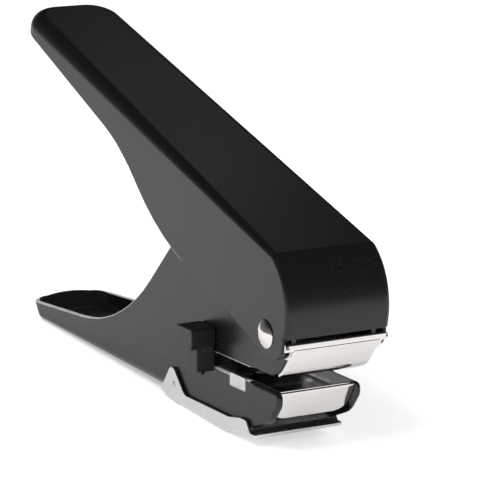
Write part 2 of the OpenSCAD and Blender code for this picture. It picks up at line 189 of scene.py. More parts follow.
def draw(name, bm, place, merge=MERGE):
    """Makes an object from a bmesh that was drawn in millimetres."""
    join_near(bm, merge)
    bmesh.ops.transform(bm, matrix=place, verts=bm.verts)
    mesh = bpy.data.meshes.new(name)
    bm.to_mesh(mesh)
    bm.free()
    return put(name, mesh)


def settle(piece):
    """Turns what the modifiers make into the piece's own mesh."""
    graph = bpy.context.evaluated_depsgraph_get()
    mesh = bpy.data.meshes.new_from_object(piece.evaluated_get(graph))
    piece.modifiers.clear()
    piece.data = mesh
    mesh.name = piece.name
    return piece


def thicken(piece, thickness):
    """Gives a skin its sheet thickness, on the inside."""
    wall = piece.modifiers.new("sheet", "SOLIDIFY")
    wall.thickness = thickness * MM
    wall.offset = -1
    wall.use_even_offset = True
    wall.use_quality_normals = True
    return settle(piece)

# %% Round the cut edges
BARE_HIGHLIGHT_BELOW = 0.5  # a cut that is rounded by less shows its bare metal, coloured pale as a painted highlight
RUNG_STEPS, ROUND_SHARE, MITRE_LIMIT, INNER_ROUND = 4, 0.93, 0.5, 0.2
SAME_PLACE = 2e-6


def pulls_of(rim, skin):
    """For each outer vertex of the rim: the directions into the sheet, and its inner partner."""
    pulls, partner, on_rim = {}, {}, set(rim)
    for face in rim:
        for loop in face.loops:
            a, b = loop.vert, loop.link_loop_next.vert
            if a.index < skin and b.index < skin:
                plate = next(f for f in loop.edge.link_faces if f not in on_rim)
                pull = plate.normal.cross((a.co - b.co).normalized())
                pulls.setdefault(a, []).append(pull)
                pulls.setdefault(b, []).append(pull)
            elif (a.index < skin) != (b.index < skin):
                outer, inner = (a, b) if a.index < skin else (b, a)
                partner[outer] = inner
    return pulls, partner


def rung(bm, outer, inner, pull, r1, r2):
    """Points from the outer to the inner skin over a rounded edge; moves both ends inwards."""
    start, end = outer.co.copy(), inner.co.copy()
    through = (end - start).normalized()
    shares = [(1 - math.sin(t), 1 - math.cos(t))
              for t in (math.pi / 2 * k / RUNG_STEPS for k in range(1, RUNG_STEPS + 1))]
    first = [start + pull * r1 * s + through * r1 * c for s, c in shares]
    second = [end + pull * r2 * s - through * r2 * c for s, c in shares]
    outer.co, inner.co = start + pull * r1, end + pull * r2
    return [outer] + [bm.verts.new(p) for p in first + second[::-1]] + [inner]


def round_rim(piece, skin, place, radius_at, inner_radius):
    """Rounds the cut edges of a thickened skin that had so many vertices."""
    back = place.inverted()
    bm = bmesh.new()
    bm.from_mesh(piece.data)
    rim = [f for f in bm.faces if len({v.index < skin for v in f.verts}) == 2]
    pulls, partner = pulls_of(rim, skin)
    rungs, bare_and_highlit = {}, set()
    for outer, inner in partner.items():
        one, two = pulls[outer][0], pulls[outer][-1]
        pull = (one + two) / max(MITRE_LIMIT, 1 + one.dot(two))
        wall = (inner.co - outer.co).length
        r1 = min(radius_at(back @ outer.co) * MM, ROUND_SHARE * wall)
        r2 = min(inner_radius * MM, wall - r1)
        # such a sharp cut takes the second material: bare metal with a painted highlight
        if r1 < BARE_HIGHLIGHT_BELOW * MM:
            bare_and_highlit.add(outer)
        rungs[outer] = rung(bm, outer, inner, pull, r1, r2)
    for face in rim:
        loop = next(k for k in face.loops
                    if k.vert.index in range(skin) and k.link_loop_next.vert.index in range(skin))
        left, right = rungs[loop.vert], rungs[loop.link_loop_next.vert]
        is_bare_and_highlit = loop.vert in bare_and_highlit and loop.link_loop_next.vert in bare_and_highlit
        for i in range(len(left) - 1):
            made = bm.faces.new((left[i], right[i], right[i + 1], left[i + 1]))
            made.material_index = int(is_bare_and_highlit)
    bmesh.ops.delete(bm, geom=rim, context="FACES")
    join_near(bm, SAME_PLACE)
    bm.to_mesh(piece.data)
    bm.free()
    return piece

# %% Finish a sheet or a simple solid
SOFT_ANGLE = math.radians(40)


def smooth(piece):
    """Smooth shading that leaves large flat faces flat."""
    piece.data.shade_smooth()
    keep = piece.modifiers.new("shading", "WEIGHTED_NORMAL")
    keep.weight = 100
    keep.keep_sharp = True
    return settle(piece)


def sheet(piece, place, thickness, radius_at, inner_radius=INNER_ROUND):
    """From a skin to a finished sheet with rounded edges."""
    skin = len(piece.data.vertices)
    thicken(piece, thickness)
    round_rim(piece, skin, place, radius_at, inner_radius)
    return smooth(piece)


def soften(piece, width):
    """Rounds every sharp edge of a simple solid."""
    cut = piece.modifiers.new("edges", "BEVEL")
    cut.limit_method = "ANGLE"
    cut.angle_limit = SOFT_ANGLE
    cut.width = width * MM
    cut.segments = 3
    return settle(piece)


def dress(piece, materials, body, nodes=()):
    """Gives a finished piece its materials and its body, and hides the CAD nodes that it stands
    for.
    """
    for material in materials:
        piece.data.materials.append(material)
    if len(materials) == 1:
        piece.data.polygons.foreach_set("material_index", [0] * len(piece.data.polygons))
    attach(piece, body)
    if nodes:
        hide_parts(*nodes)
    low = [min(v.co[k] for v in piece.data.vertices) for k in range(3)]
    high = [max(v.co[k] for v in piece.data.vertices) for k in range(3)]
    size = [round((h - l) / MM, 1) for l, h in zip(low, high)]
    print(piece.name, "faces", len(piece.data.polygons), "size mm", size)


def orient(bm, inside):
    """Turns all faces of a skin so that its largest one looks away from a point inside."""
    face_out(bm)
    face = max(bm.faces, key=lambda f: f.calc_area())
    if (face.calc_center_median() - Vector(inside)).dot(face.normal) < 0:
        bmesh.ops.reverse_faces(bm, faces=bm.faces)

# %% [markdown]
# ## Flat plates with holes
# A side plate is a flat outline with a few drilled holes. Blender's Delaunay fill makes triangles
# between the outline and the holes, and a limited dissolve joins them into large flat faces, so
# that nothing shows in a reflection.

# %% Fill a flat plate
INSIDE_ONLY, SAME_POINT = 1, 1e-5  # the kind of fill, and how near two points may be
NO_LENGTH, FLAT_ANGLE = 0.001, math.radians(0.4)


def circle(x, z, radius, count=48):
    turns = [2 * math.pi * i / count for i in range(count)]
    return [Vector((x + radius * math.cos(t), z + radius * math.sin(t))) for t in turns]


def fill_plate(bm, rim, holes, lift):
    """Fills the rim minus its round or long holes; lift puts a flat point into space."""
    points, edges, loop_of = [], [], []
    for k, loop in enumerate([rim] + holes):
        start, n = len(points), len(loop)
        points += loop
        loop_of += [k] * n
        edges += [(start + i, start + (i + 1) % n) for i in range(n)]
    spots, _, faces, origins, *_ = delaunay_2d_cdt(points, edges, [], INSIDE_ONLY, SAME_POINT)
    made = [bm.verts.new(lift(p)) for p in spots]
    from_loop = [{loop_of[i] for i in origin} for origin in origins]
    for face in faces:
        inside_hole = set.intersection(*(from_loop[i] for i in face)) - {0}
        if not inside_hole:
            bm.faces.new([made[i] for i in face])


def strip(bm, columns):
    """Quads between neighbouring columns of points."""
    rows = [[bm.verts.new(p) for p in column] for column in columns]
    for left, right in zip(rows, rows[1:]):
        for i in range(len(left) - 1):
            bm.faces.new((left[i], left[i + 1], right[i + 1], right[i]))


def lathe(bm, centre, profile, sides=48):
    """Turns a profile of (distance across the punch, radius) round an axis across it."""
    turns = [2 * math.pi * k / sides for k in range(sides)]
    rings = [[Vector((centre.x + r * math.cos(t), y, centre.y + r * math.sin(t))) for t in turns]
             for y, r in profile]
    strip(bm, [ring + ring[:1] for ring in rings])


def join_flat(bm):
    """Joins faces that lie in one plane."""
    join_near(bm, MERGE)
    bmesh.ops.dissolve_degenerate(bm, edges=bm.edges, dist=NO_LENGTH)
    bmesh.ops.dissolve_limit(bm, angle_limit=FLAT_ANGLE, verts=[], edges=bm.edges)

# %% [markdown]
# ## Effects that several finishes share
# Two effects come back in more than one material, so each is a node group with named inputs.
# The first is a fine unevenness, like the orange peel of stoved paint or the bloom on plating:
# it gives a mask to vary a colour or a gloss, and a height for a Bump node. The second is rubbed
# edges: on a convex edge a hand or a card takes the top of the finish away. Cycles knows
# how convex a surface is from Pointiness, and noise breaks the mask up.

# %% Helpers for nodes
def feed(node, inputs):
    """Gives each input a plain value, or a link from the socket that feeds it."""
    for key, value in inputs.items():
        if isinstance(value, bpy.types.NodeSocket):
            node.id_data.links.new(value, node.inputs[key])
        else:
            node.inputs[key].default_value = value


def add(tree, kind, inputs=None, **settings):
    """Adds a node with its settings and inputs, and gives its outputs."""
    node = tree.nodes.new(kind)
    for key, value in settings.items():
        setattr(node, key, value)
    feed(node, inputs or {})
    return node.outputs


def maths(tree, operation, *values):
    """The result of a Math node."""
    return add(tree, "ShaderNodeMath", dict(enumerate(values)), operation=operation)[0]


def new_tree(name, kind, numbers, results):
    """A tree with a named input for each number; gives the tree and its inputs."""
    tree = bpy.data.node_groups.new(name, kind)
    flow = "NodeSocketFloat"
    if kind == "GeometryNodeTree":
        flow = "NodeSocketGeometry"
        tree.interface.new_socket("Geometry", in_out="INPUT", socket_type=flow)
    for title, value in numbers.items():
        number = "NodeSocketInt" if isinstance(value, int) else "NodeSocketFloat"
        tree.interface.new_socket(title, in_out="INPUT", socket_type=number).default_value = value
    for title in results:
        tree.interface.new_socket(title, in_out="OUTPUT", socket_type=flow)
    return tree, add(tree, "NodeGroupInput")

# %% Node groups
GRAIN_SHARE = 0.35
BREAKUP = {"From Min": 0.38, "From Max": 0.62}


def uneven_group():
    tree, given = new_tree(
        "uneven_finish", "ShaderNodeTree",
        {"Grain per metre": 900.0, "Cloud per metre": 25.0, "Detail": 3.0}, ["Mask", "Height"])
    where = add(tree, "ShaderNodeTexCoord")["Object"]
    grain, cloud = [add(tree, "ShaderNodeTexNoise", {"Vector": where, "Scale": given[title],
                                                     "Detail": given["Detail"]})["Fac"]
                    for title in ("Grain per metre", "Cloud per metre")]
    scaled = maths(tree, "MULTIPLY", cloud, 1 - GRAIN_SHARE)
    mask = maths(tree, "MULTIPLY_ADD", grain, GRAIN_SHARE, scaled)
    add(tree, "NodeGroupOutput", {"Mask": mask, "Height": grain})
    return tree


def rubbed_group():
    tree, given = new_tree(
        "rubbed_edges", "ShaderNodeTree",
        {"Start": 0.54, "End": 0.62, "Breakup per metre": 220.0}, ["Mask"])
    where = add(tree, "ShaderNodeTexCoord")["Object"]
    noise = add(tree, "ShaderNodeTexNoise", {"Vector": where, "Scale": given["Breakup per metre"]})
    convex = add(tree, "ShaderNodeNewGeometry")["Pointiness"]
    edge = add(tree, "ShaderNodeMapRange",
               {"Value": convex, "From Min": given["Start"], "From Max": given["End"]})["Result"]
    broken = add(tree, "ShaderNodeMapRange", {"Value": noise["Fac"], **BREAKUP})["Result"]
    add(tree, "NodeGroupOutput", {"Mask": maths(tree, "MULTIPLY", edge, broken)})
    return tree


UNEVEN, RUBBED = uneven_group(), rubbed_group()
print("node groups:", UNEVEN.name, RUBBED.name)

# %% [markdown]
# ## The finishes
# Every finish follows one pattern: the mask of the uneven group mixes two close colours and two
# close gloss values, its height makes a very small bump, and the rubbed edges show a third colour.
# Black stoved paint is dark with a satin gloss, and a cut edge beside it is bare metal, made pale
# as a painted highlight. Chrome is nearly a mirror with a warm tint. Plated tray steel is bright
# but cloudy. Hidden working pieces are ground, oiled or sprung steel, and the oiled steel is
# darkened further as painted shade inside the slot and the throat. A stretched grain makes the
# lines that grinding leaves.

# %% A finish from its numbers
RELIEF = 0.00002  # the height of the bump, in metres
MASK_RANGE = {"From Min": 0.3, "From Max": 0.7}


def blend(tree, share, one, two):
    """Mixes two colours, of which the first may come from a socket."""
    return add(tree, "ShaderNodeMix", {"Factor": share, "A": one, "B": two},
               data_type="RGBA")["Result"]


def finish(name, dark, pale, gloss, metallic=0.0, grain=900.0, cloud=25.0, bump=0.1,
           rubbed=None, stretch=None):
    """dark/pale: the two colours; gloss: the two roughness values; rubbed: colour of worn edges."""
    material = bpy.data.materials.new(name)
    material.use_nodes = True
    tree = material.node_tree
    effect = add(tree, "ShaderNodeGroup", {"Grain per metre": grain, "Cloud per metre": cloud},
                 node_tree=UNEVEN)
    height = effect["Height"]
    if stretch:
        where = add(tree, "ShaderNodeTexCoord")["Object"]
        drawn = add(tree, "ShaderNodeMapping", {"Vector": where, "Scale": stretch})["Vector"]
        height = add(tree, "ShaderNodeTexNoise", {"Vector": drawn, "Scale": grain})["Fac"]
    colour = blend(tree, effect["Mask"], (*dark, 1), (*pale, 1))
    if rubbed:
        worn = add(tree, "ShaderNodeGroup", node_tree=RUBBED)["Mask"]
        colour = blend(tree, worn, colour, (*rubbed, 1))
    rough = add(tree, "ShaderNodeMapRange", {"Value": effect["Mask"], **MASK_RANGE,
                                             "To Min": gloss[0], "To Max": gloss[1]})["Result"]
    relief = add(tree, "ShaderNodeBump",
                 {"Height": height, "Strength": bump, "Distance": RELIEF})["Normal"]
    feed(tree.nodes["Principled BSDF"], {"Base Color": colour, "Metallic": metallic,
                                         "Roughness": rough, "Normal": relief})
    return material

# %% The finishes of this punch
PAINT = finish("black_stoved_paint", (0.0045, 0.0045, 0.0049), (0.0072, 0.0072, 0.0077),
               (0.24, 0.32), grain=1400, cloud=18, bump=0.2, rubbed=(0.03, 0.03, 0.031))
# bare metal on sharp cuts; its near-white, mostly matt colour is also a painted highlight for the
# bright lines along the edges
BARE_EDGE_HIGHLIGHT = finish("bare_edges_painted_highlight", (0.35, 0.35, 0.35), (0.85, 0.85, 0.85),
              (0.22, 0.36), metallic=0.3, grain=1800, cloud=120, bump=0.2,
              rubbed=(0.7, 0.7, 0.7))
CHROME = finish("bright_chrome", (0.79, 0.765, 0.75), (0.86, 0.835, 0.82), (0.07, 0.13),
                metallic=1.0, grain=700, cloud=45, bump=0.05)
TRAY = finish("plated_tray_steel", (0.74, 0.74, 0.74), (0.86, 0.86, 0.86), (0.20, 0.32),
              metallic=1.0, grain=2600, cloud=60, bump=0.3)
STEEL = finish("ground_steel", (0.62, 0.62, 0.63), (0.76, 0.76, 0.77), (0.25, 0.4),
               metallic=1.0, grain=500, cloud=70, bump=0.35, stretch=(0.15, 1, 1),
               rubbed=(0.85, 0.85, 0.86))
# oiled steel, darkened nearly to black as painted shade, so the pieces seen inside the slot and the
# throat look black
OILED_AND_SHADED = finish("oiled_steel_painted_shade", (0.018, 0.018, 0.019), (0.035, 0.035, 0.037), (0.3, 0.45),
               metallic=1.0, grain=900, cloud=60, bump=0.3, rubbed=(0.12, 0.12, 0.12))
SPRING = finish("spring_wire", (0.28, 0.27, 0.26), (0.4, 0.39, 0.38), (0.2, 0.32),
                metallic=1.0, grain=2200, cloud=140, bump=0.2, stretch=(1, 1, 0.1))
PLASTIC = finish("black_plastic", (0.006, 0.006, 0.0065), (0.012, 0.012, 0.0125), (0.3, 0.4),
                 grain=3200, cloud=60, bump=0.3, rubbed=(0.05, 0.05, 0.05))
print("finishes:", [m.name for m in bpy.data.materials if m.use_nodes])

# %% [markdown]
# ## The lever
# The lever is one sheet folded down on both sides, with a flat top that drops over a rounded nose
# and a closed, rounded rear. Its skin is a row of columns that goes round the whole rim: at each
# place a column is the arc between the top and the wall. Neighbouring columns make the soft edge,
# the columns' first points make the top, and their last points start the flat, tapering sides.

# %% From flat points into space and back
def across(p, y):
    """The flat point p at a distance y across the punch."""
    return Vector((p.x, y, p.y))


def flat(q):
    return Vector((q.x, q.z))


def mirrored(columns):
    """The same columns on the other side of the punch."""
    return [[Vector((q.x, -q.y, q.z)) for q in column] for column in columns]

# %% The lever's sizes
LEVER_HALF, LEVER_TAPER, LEVER_BACK, LEVER_TOP = 17.3, math.tan(math.radians(0.45)), 179.5, 24.4
LEVER_REAR_R, LEVER_SHEET = 11, 1.6
LEVER_WEB = [[-30, LEVER_TOP, 0], [-3.2, LEVER_TOP, 4], [9.22, 19.05, 21], [11.12, 3.7, 0]]
LEVER_EDGE = [[9.9, 2.4, 1], [9.9, -1.7, 3], [5.6, -6.4, 8], [-70.5, -3.8, 85],
              [-100.7, 10.9, 70]]
LEVER_LIP = [9.31, 3.47, 0]  # where the nose's last column ends
LEVER_SHOULDER, GRIP_SHOULDER, REAR_LOW = 1.9, 4.8, 17.7
SHOULDER_FROM, SHOULDER_RUN, SHOULDER_STEPS = -5, 100, 8
PIVOT_HOLE = 3.05
# the sharp cut in the middle of the walls takes the bare metal with its painted highlight
BARE_HIGHLIGHT_CUT, PAINTED_CUT, BARE_HIGHLIGHT_FROM, BARE_HIGHLIGHT_TO = 0.3, 0.55, -100, -8


def lever_half(x):
    return LEVER_HALF + LEVER_TAPER * x


def shoulder(x):
    """Radius between the top and the walls: softer towards the grip."""
    t = min(1, max(0, (SHOULDER_FROM - x) / SHOULDER_RUN))
    return LEVER_SHOULDER + (GRIP_SHOULDER - LEVER_SHOULDER) * t


def lever_low(x):
    """Lower edge of the walls near the rear."""
    wall_x, wall_z = LEVER_EDGE[-1][:2]
    return REAR_LOW + (x + LEVER_BACK) * (wall_z - REAR_LOW) / (LEVER_BACK + wall_x)


print("lever width at its pivot and rear", 2 * lever_half(0), round(2 * lever_half(-LEVER_BACK), 2))

# %% Columns round the lever's rim
def lever_columns():
    """Arcs all round the lever's rim, from the near lip back round the rear to the far lip."""
    nose = path(LEVER_WEB)
    far = []
    for i, p in enumerate(nose):
        b = across(p, lever_half(p.x))
        c = b + across(inward(nose, i), 0) * REACH
        far.append(bend(across(p, 0), b, c, shoulder(p.x), SHOULDER_STEPS))
    x0, back = LEVER_WEB[0][0], -LEVER_BACK
    plan = path([[x0, -lever_half(x0), 0], [back, -lever_half(back), LEVER_REAR_R],
                 [back, lever_half(back), LEVER_REAR_R], [x0, lever_half(x0), 0]])
    rear = []
    for i, p in enumerate(plan[1:-1], 1):
        # the first and the last column stand square on the straight sides
        m = {1: Vector((0, -1)), len(plan) - 2: Vector((0, 1))}.get(i, -inward(plan, i))
        b = Vector((p.x, p.y, LEVER_TOP))
        a = b - Vector((m.x, m.y, 0)) * REACH
        c = Vector((p.x, p.y, lever_low(p.x)))
        rear.append(bend(a, b, c, shoulder(p.x), SHOULDER_STEPS))
    return mirrored(reversed(far)), rear, far

# %% The lever's skin
def lever_skin():
    near, rear, far = lever_columns()
    bm = bmesh.new()
    strip(bm, near + rear + far)
    # the top behind the nose is one flat face, and the nose is a strip across it
    top = [near[-1][0]] + [c[0] for c in rear] + [far[0][0]]
    bm.faces.new([bm.verts.new(p) for p in top])
    strip(bm, [[a[0], b[0]] for a, b in zip(reversed(near), far)])
    # the rear wall
    strip(bm, [[c[-1], Vector((c[-1].x, c[-1].y, lever_low(c[-1].x)))] for c in rear])
    # the two tapering walls
    edge = path([LEVER_LIP] + LEVER_EDGE + [[-LEVER_BACK, REAR_LOW, 0]])[1:-1]
    for sign, columns, corner in ((-1, near, rear[0]), (1, list(reversed(far)), rear[-1])):
        rim = [flat(c[-1]) for c in columns + [corner]]
        rim += [Vector((rim[-1].x, lever_low(rim[-1].x)))] + list(reversed(edge))
        fill_plate(bm, rim, [circle(0, 0, PIVOT_HOLE)],
                   lambda p, s=sign: across(p, s * lever_half(p.x)))
    join_flat(bm)
    orient(bm, (-60, 0, 0))
    return bm


def lever_edges(p):
    """Only the middle of the walls has bare cut edges, pale as a painted highlight; the grip's and
    the nose's are painted.
    """
    return BARE_HIGHLIGHT_CUT if BARE_HIGHLIGHT_FROM < p.x < BARE_HIGHLIGHT_TO else PAINTED_CUT


lever = draw("lever_cover", lever_skin(), ON_LEVER)
sheet(lever, ON_LEVER, LEVER_SHEET, lever_edges)
dress(lever, [PAINT, BARE_EDGE_HIGHLIGHT], "lever", ["lever_shell"])

# %% [markdown]
# ## The body
# The body is one sheet too: two side plates joined by a trough behind the throat. At the rear the
# trough turns up into a low wall with rounded corners, so the rim there can rest in the palm. The
# skin is made as the lever's was: columns follow the foot of the trough, from the near side round
# the rear to the far side. The side plates are flat fills of the true outline with the throat.

# %% The body's outline
BODY_HALF, BODY_SHEET, BODY_CORNER = 14.1, 1.5, 6
TROUGH_FRONT, TROUGH_BACK, RIM_BACK, RIM_Z = -66, -159.3, -163.5, -10.5
TROUGH_FRONT_Z, TROUGH_BACK_Z, RIM_SLOPE, RIM_RISE = -18.5, -15.84, 4.5 / 67.8, 0.9
FOOT_R, FOOT_STEPS, REAR_STEPS = 3.0, 6, 10
CUT_R, JAW_R, JAW_BACK, JAW_BLEND, JAW_TOP = 0.28, 1.35, -12.5, 3, 9


def trough_z(x):
    """Underside of the trough."""
    share = (TROUGH_BACK_Z - TROUGH_FRONT_Z) / (TROUGH_BACK - TROUGH_FRONT)
    return TROUGH_FRONT_Z + (x - TROUGH_FRONT) * share


RIM_CORNER_X = RIM_BACK + BODY_CORNER
RIM_CORNER_Z = RIM_Z + BODY_CORNER * RIM_SLOPE
BODY_RIM = [
    [RIM_CORNER_X, RIM_CORNER_Z, 0], [-95.7, -6, 78], [-54, 34, 6], [12.4, 23.1, 9.4],
    [12.4, 13, 3], [11.3, 8.2, 4], [6.6, 2.6, 8], [0, 0, 1.6], [-9, 0, 0], [-12, 0, 0],
    [-41.3, 0, 0.6], [-41.3, -4.7, 0.6],
    [-23.75, -4.7, 0], [-23.75, -7.7, 0.2], [-14.75, -7.7, 0.2], [-14.75, -4.02, 1.3],
    [-12, -4.02, 0], [-9, -4.02, 0], [4.9, -4.02, 1.9], [5, -7.8, 4], [0.2, -13.9, 9],
    [-10.5, -18.2, 2], [-13.5, -18.2, 0], [-17, -18.2, 0], [-61, -18.2, 0],
    [TROUGH_FRONT, TROUGH_FRONT_Z, 0]]
BODY_HOLES = [(3, 13.7, PIVOT_HOLE), (-44, 27.65, 1.55), (-57.5, -15.2, 1.55)]
print("body outline:", len(BODY_RIM), "corners,", len(outline(BODY_RIM)), "points")

# %% Columns round the foot of the trough
def foot_columns():
    """Arc, then wall, at each place round the foot of the trough."""
    foot_c = Vector((TROUGH_BACK + BODY_CORNER, -BODY_HALF + BODY_CORNER, 0))
    rim_c = Vector((RIM_CORNER_X, -BODY_HALF + BODY_CORNER, 0))
    near = []
    for x, phi in [(TROUGH_FRONT, 0.0)] + [(None, 90.0 * i / 8) for i in range(9)]:
        t = math.radians(phi)
        m = Vector((-math.sin(t), -math.cos(t), 0))
        b, c = foot_c + m * BODY_CORNER, rim_c + m * BODY_CORNER
        c.z = RIM_Z + (c.x - RIM_BACK) * RIM_SLOPE
        if x is not None:
            b, c = Vector((x, -BODY_HALF, 0)), Vector((x, -BODY_HALF, RIM_Z))
        b.z = trough_z(b.x)
        a = b - m * BODY_CORNER
        a.z = trough_z(a.x)
        near.append(bend(a, b, c, FOOT_R, FOOT_STEPS) + ([c] if x is None else []))
    return near


def rear_rim(y):
    """The rear wall stands a little higher in its middle."""
    return RIM_RISE * (1 - (y / (BODY_HALF - BODY_CORNER)) ** 2)

# %% The body's skin
def body_skin():
    near = foot_columns()
    far = mirrored(reversed(near))
    middle = []
    for i in range(1, REAR_STEPS):
        column = [a.lerp(b, i / REAR_STEPS) for a, b in zip(near[-1], far[0])]
        column[-1] = column[-1] + Vector((0, 0, rear_rim(column[-1].y)))
        middle.append(column)
    arcs = [c[:FOOT_STEPS + 1] for c in near + middle + far]
    bm = bmesh.new()
    strip(bm, arcs)
    bm.faces.new([bm.verts.new(c[0]) for c in arcs])
    strip(bm, [c[FOOT_STEPS:] for c in near[1:] + middle + far[:-1]])
    for sign in (-1, 1):
        rim = outline(BODY_RIM) + [flat(c[FOOT_STEPS]) for c in near[:2]]
        holes = [circle(*hole) for hole in BODY_HOLES]
        fill_plate(bm, rim, holes, lambda p, s=sign: across(p, s * BODY_HALF))
    join_flat(bm)
    orient(bm, (0, 0, 0))
    return bm


def body_edges(p):
    """The jaws' edges are pressed round over the whole sheet; the other edges are cut."""
    if p.z > JAW_TOP:
        return CUT_R
    share = min(1, max(0, (p.x - JAW_BACK) / JAW_BLEND))
    return CUT_R + (JAW_R - CUT_R) * share


body = draw("body_sides", body_skin(), STANDING)
sheet(body, STANDING, BODY_SHEET, body_edges)
dress(body, [PAINT, BARE_EDGE_HIGHLIGHT], "body", ["body_shell"])

# %% [markdown]
# ## The nose plates
# Two chromed plates guide the card. The upper one hangs under the lever's lip: a rolled bead at
# its top, a face that curves back under to the throat, and an ear and a small lobe on each side.
# The lower one covers the lower jaw: flat on top with a scribed centre line, then folded down and
# back, and its flat part has the holes of the slot and of two rivets. Each is a curved grid:
# stations follow the section, and the width at each station rounds the corners.

# %% A curved plate with rounded corners
NOSE_CUT, TIP = 0.22, 0.02


def spaced(points, gap):
    """The path with extra points, so that no step is longer than gap."""
    out = [points[0]]
    for a, b in zip(points, points[1:]):
        n = max(1, math.ceil((b - a).length / gap))
        out += [a.lerp(b, i / n) for i in range(1, n + 1)]
    return out


def runs(points):
    """How far each point is from the start of the path."""
    run = [0.0]
    for a, b in zip(points, points[1:]):
        run.append(run[-1] + (b - a).length)
    return run


def corner_width(half, radius, run):
    """Half width at a distance run from an end whose corners are rounded."""
    if run >= radius:
        return half
    return half - radius + math.sqrt(radius ** 2 - (radius - run) ** 2)


def plate_grid(bm, points, halves, shares, sink=lambda p, y: 0):
    """A grid along the path, with its half width at each point; shares run from -1 to 1."""
    strip(bm, [[Vector((p.x, share * half, p.y - sink(p, share * half))) for share in shares]
               for p, half in zip(points, halves)])

# %% The upper nose plate
NOSE = [[1.9, 0.8, 0], [6.6, 2.6, 8], [10.9, 7.8, 3], [13.7, 11.4, 0]]
NOSE_SHEET, NOSE_GAP, NOSE_HALF, NOSE_CORNER = 0.9, 0.1, 14.4, 4.5
BEAD_AT, BEAD_R, BEAD_HALF, BEAD_DOME, BEAD_SIDES = Vector((14.35, 12.45)), 0.65, 16.3, 0.6, 20
EAR_IN, EAR_OUT, LOBE_OUT, TRIM_ROUND = 14.2, 15.3, 17.0, 0.2
NECK = [[13.2, 10.8, 0], [14.2, 10.8, 0], [15, 12.45, 0], [13.75, 12.45, 0]]
EAR = [[9.3, 7.7, 2], [12, 7.7, 0.5], [14.4, 11.4, 0], [13.8, 12.6, 0], [9.3, 12.6, 2]]
LOBE = [[12.8, 8.9, 0.4], [14.4, 11.4, 0], [13.8, 12.6, 0.3], [13.4, 12.6, 0], [13.1, 10.6, 0]]


def bead_profile():
    """The bar from end to end, with softly domed ends, as (distance across, radius)."""
    end = [(-BEAD_HALF, 0.0), (-BEAD_HALF, 0.55), (-BEAD_HALF + BEAD_DOME * 0.3, 0.85),
           (-BEAD_HALF + BEAD_DOME, 1.0)]
    return [(y, BEAD_R * share) for y, share in end + [(-y, s) for y, s in reversed(end)]]


def prism(bm, corners, y0, y1):
    """A flat outline with thickness across the punch."""
    ends = [[bm.verts.new(across(p, y)) for p in outline(corners)] for y in (y0, y1)]
    n = len(ends[0])
    bm.faces.new(ends[0])
    bm.faces.new(list(reversed(ends[1])))
    for i in range(n):
        j = (i + 1) % n
        bm.faces.new((ends[0][i], ends[1][i], ends[1][j], ends[0][j]))


def upper_face():
    points = spaced(path(beside(NOSE, -NOSE_GAP - NOSE_SHEET)), 0.5)
    halves = [corner_width(NOSE_HALF, NOSE_CORNER, run + TIP) for run in runs(points)]
    bm = bmesh.new()
    plate_grid(bm, points, halves, [-1 + 2 * i / 16 for i in range(17)])
    join_near(bm, FINE_MERGE)
    orient(bm, (0, 0, 12))
    return bm


def upper_trim():
    bm = bmesh.new()
    lathe(bm, BEAD_AT, bead_profile(), BEAD_SIDES)
    prism(bm, NECK, -BEAD_HALF + 0.2, BEAD_HALF - 0.2)
    for side in (-1, 1):
        prism(bm, EAR, *sorted((side * EAR_IN, side * EAR_OUT)))
        prism(bm, LOBE, *sorted((side * EAR_IN, side * LOBE_OUT)))
    face_out(bm)
    return bm


upper = draw("upper_nose_face", upper_face(), STANDING, merge=FINE_MERGE)
sheet(upper, STANDING, NOSE_SHEET, lambda p: NOSE_CUT)
trim = draw("upper_nose_bead", upper_trim(), STANDING, merge=SOLID_MERGE)
soften(trim, TRIM_ROUND)
smooth(trim)
dress(upper, [CHROME], "body", ["upper_nose_plate"])
dress(trim, [CHROME], "body")

# %% The lower nose plate
LOWER = [[-33, -4, 0], [4.3, -4, 0.8], [-2.0, -13.8, 0]]
LOWER_HALF, LOWER_SHEET, LOWER_CORNER = 12.55, 1.0, 4.5
PUNCH_X, SLOT_LONG, SLOT_WIDE, RIVET_Y, RIVET_HOLE = -19.2, 15.6, 3.8, 10.2, 1.25
MARK_X, MARK_WIDTH, MARK_DEPTH = (-6, 3.2), 0.22, 0.14


def scribed(p, y):
    """Depth of the scribed centre line at a point of the top."""
    on_top = MARK_X[0] < p.x < MARK_X[1] and p.y > LOWER[0][1] - 0.1
    return MARK_DEPTH if on_top and abs(y) < MARK_WIDTH / 2 else 0


def slot_hole():
    """The punched slot's hole, a little larger than the blade, as (x, y) points."""
    straight = SLOT_LONG / 2 - SLOT_WIDE / 2
    turns = [math.pi * i / 12 for i in range(13)]
    near = [Vector((PUNCH_X + SLOT_WIDE / 2 * math.cos(t), straight + SLOT_WIDE / 2 * math.sin(t)))
            for t in turns]
    return near + [Vector((2 * PUNCH_X - p.x, -p.y)) for p in near]


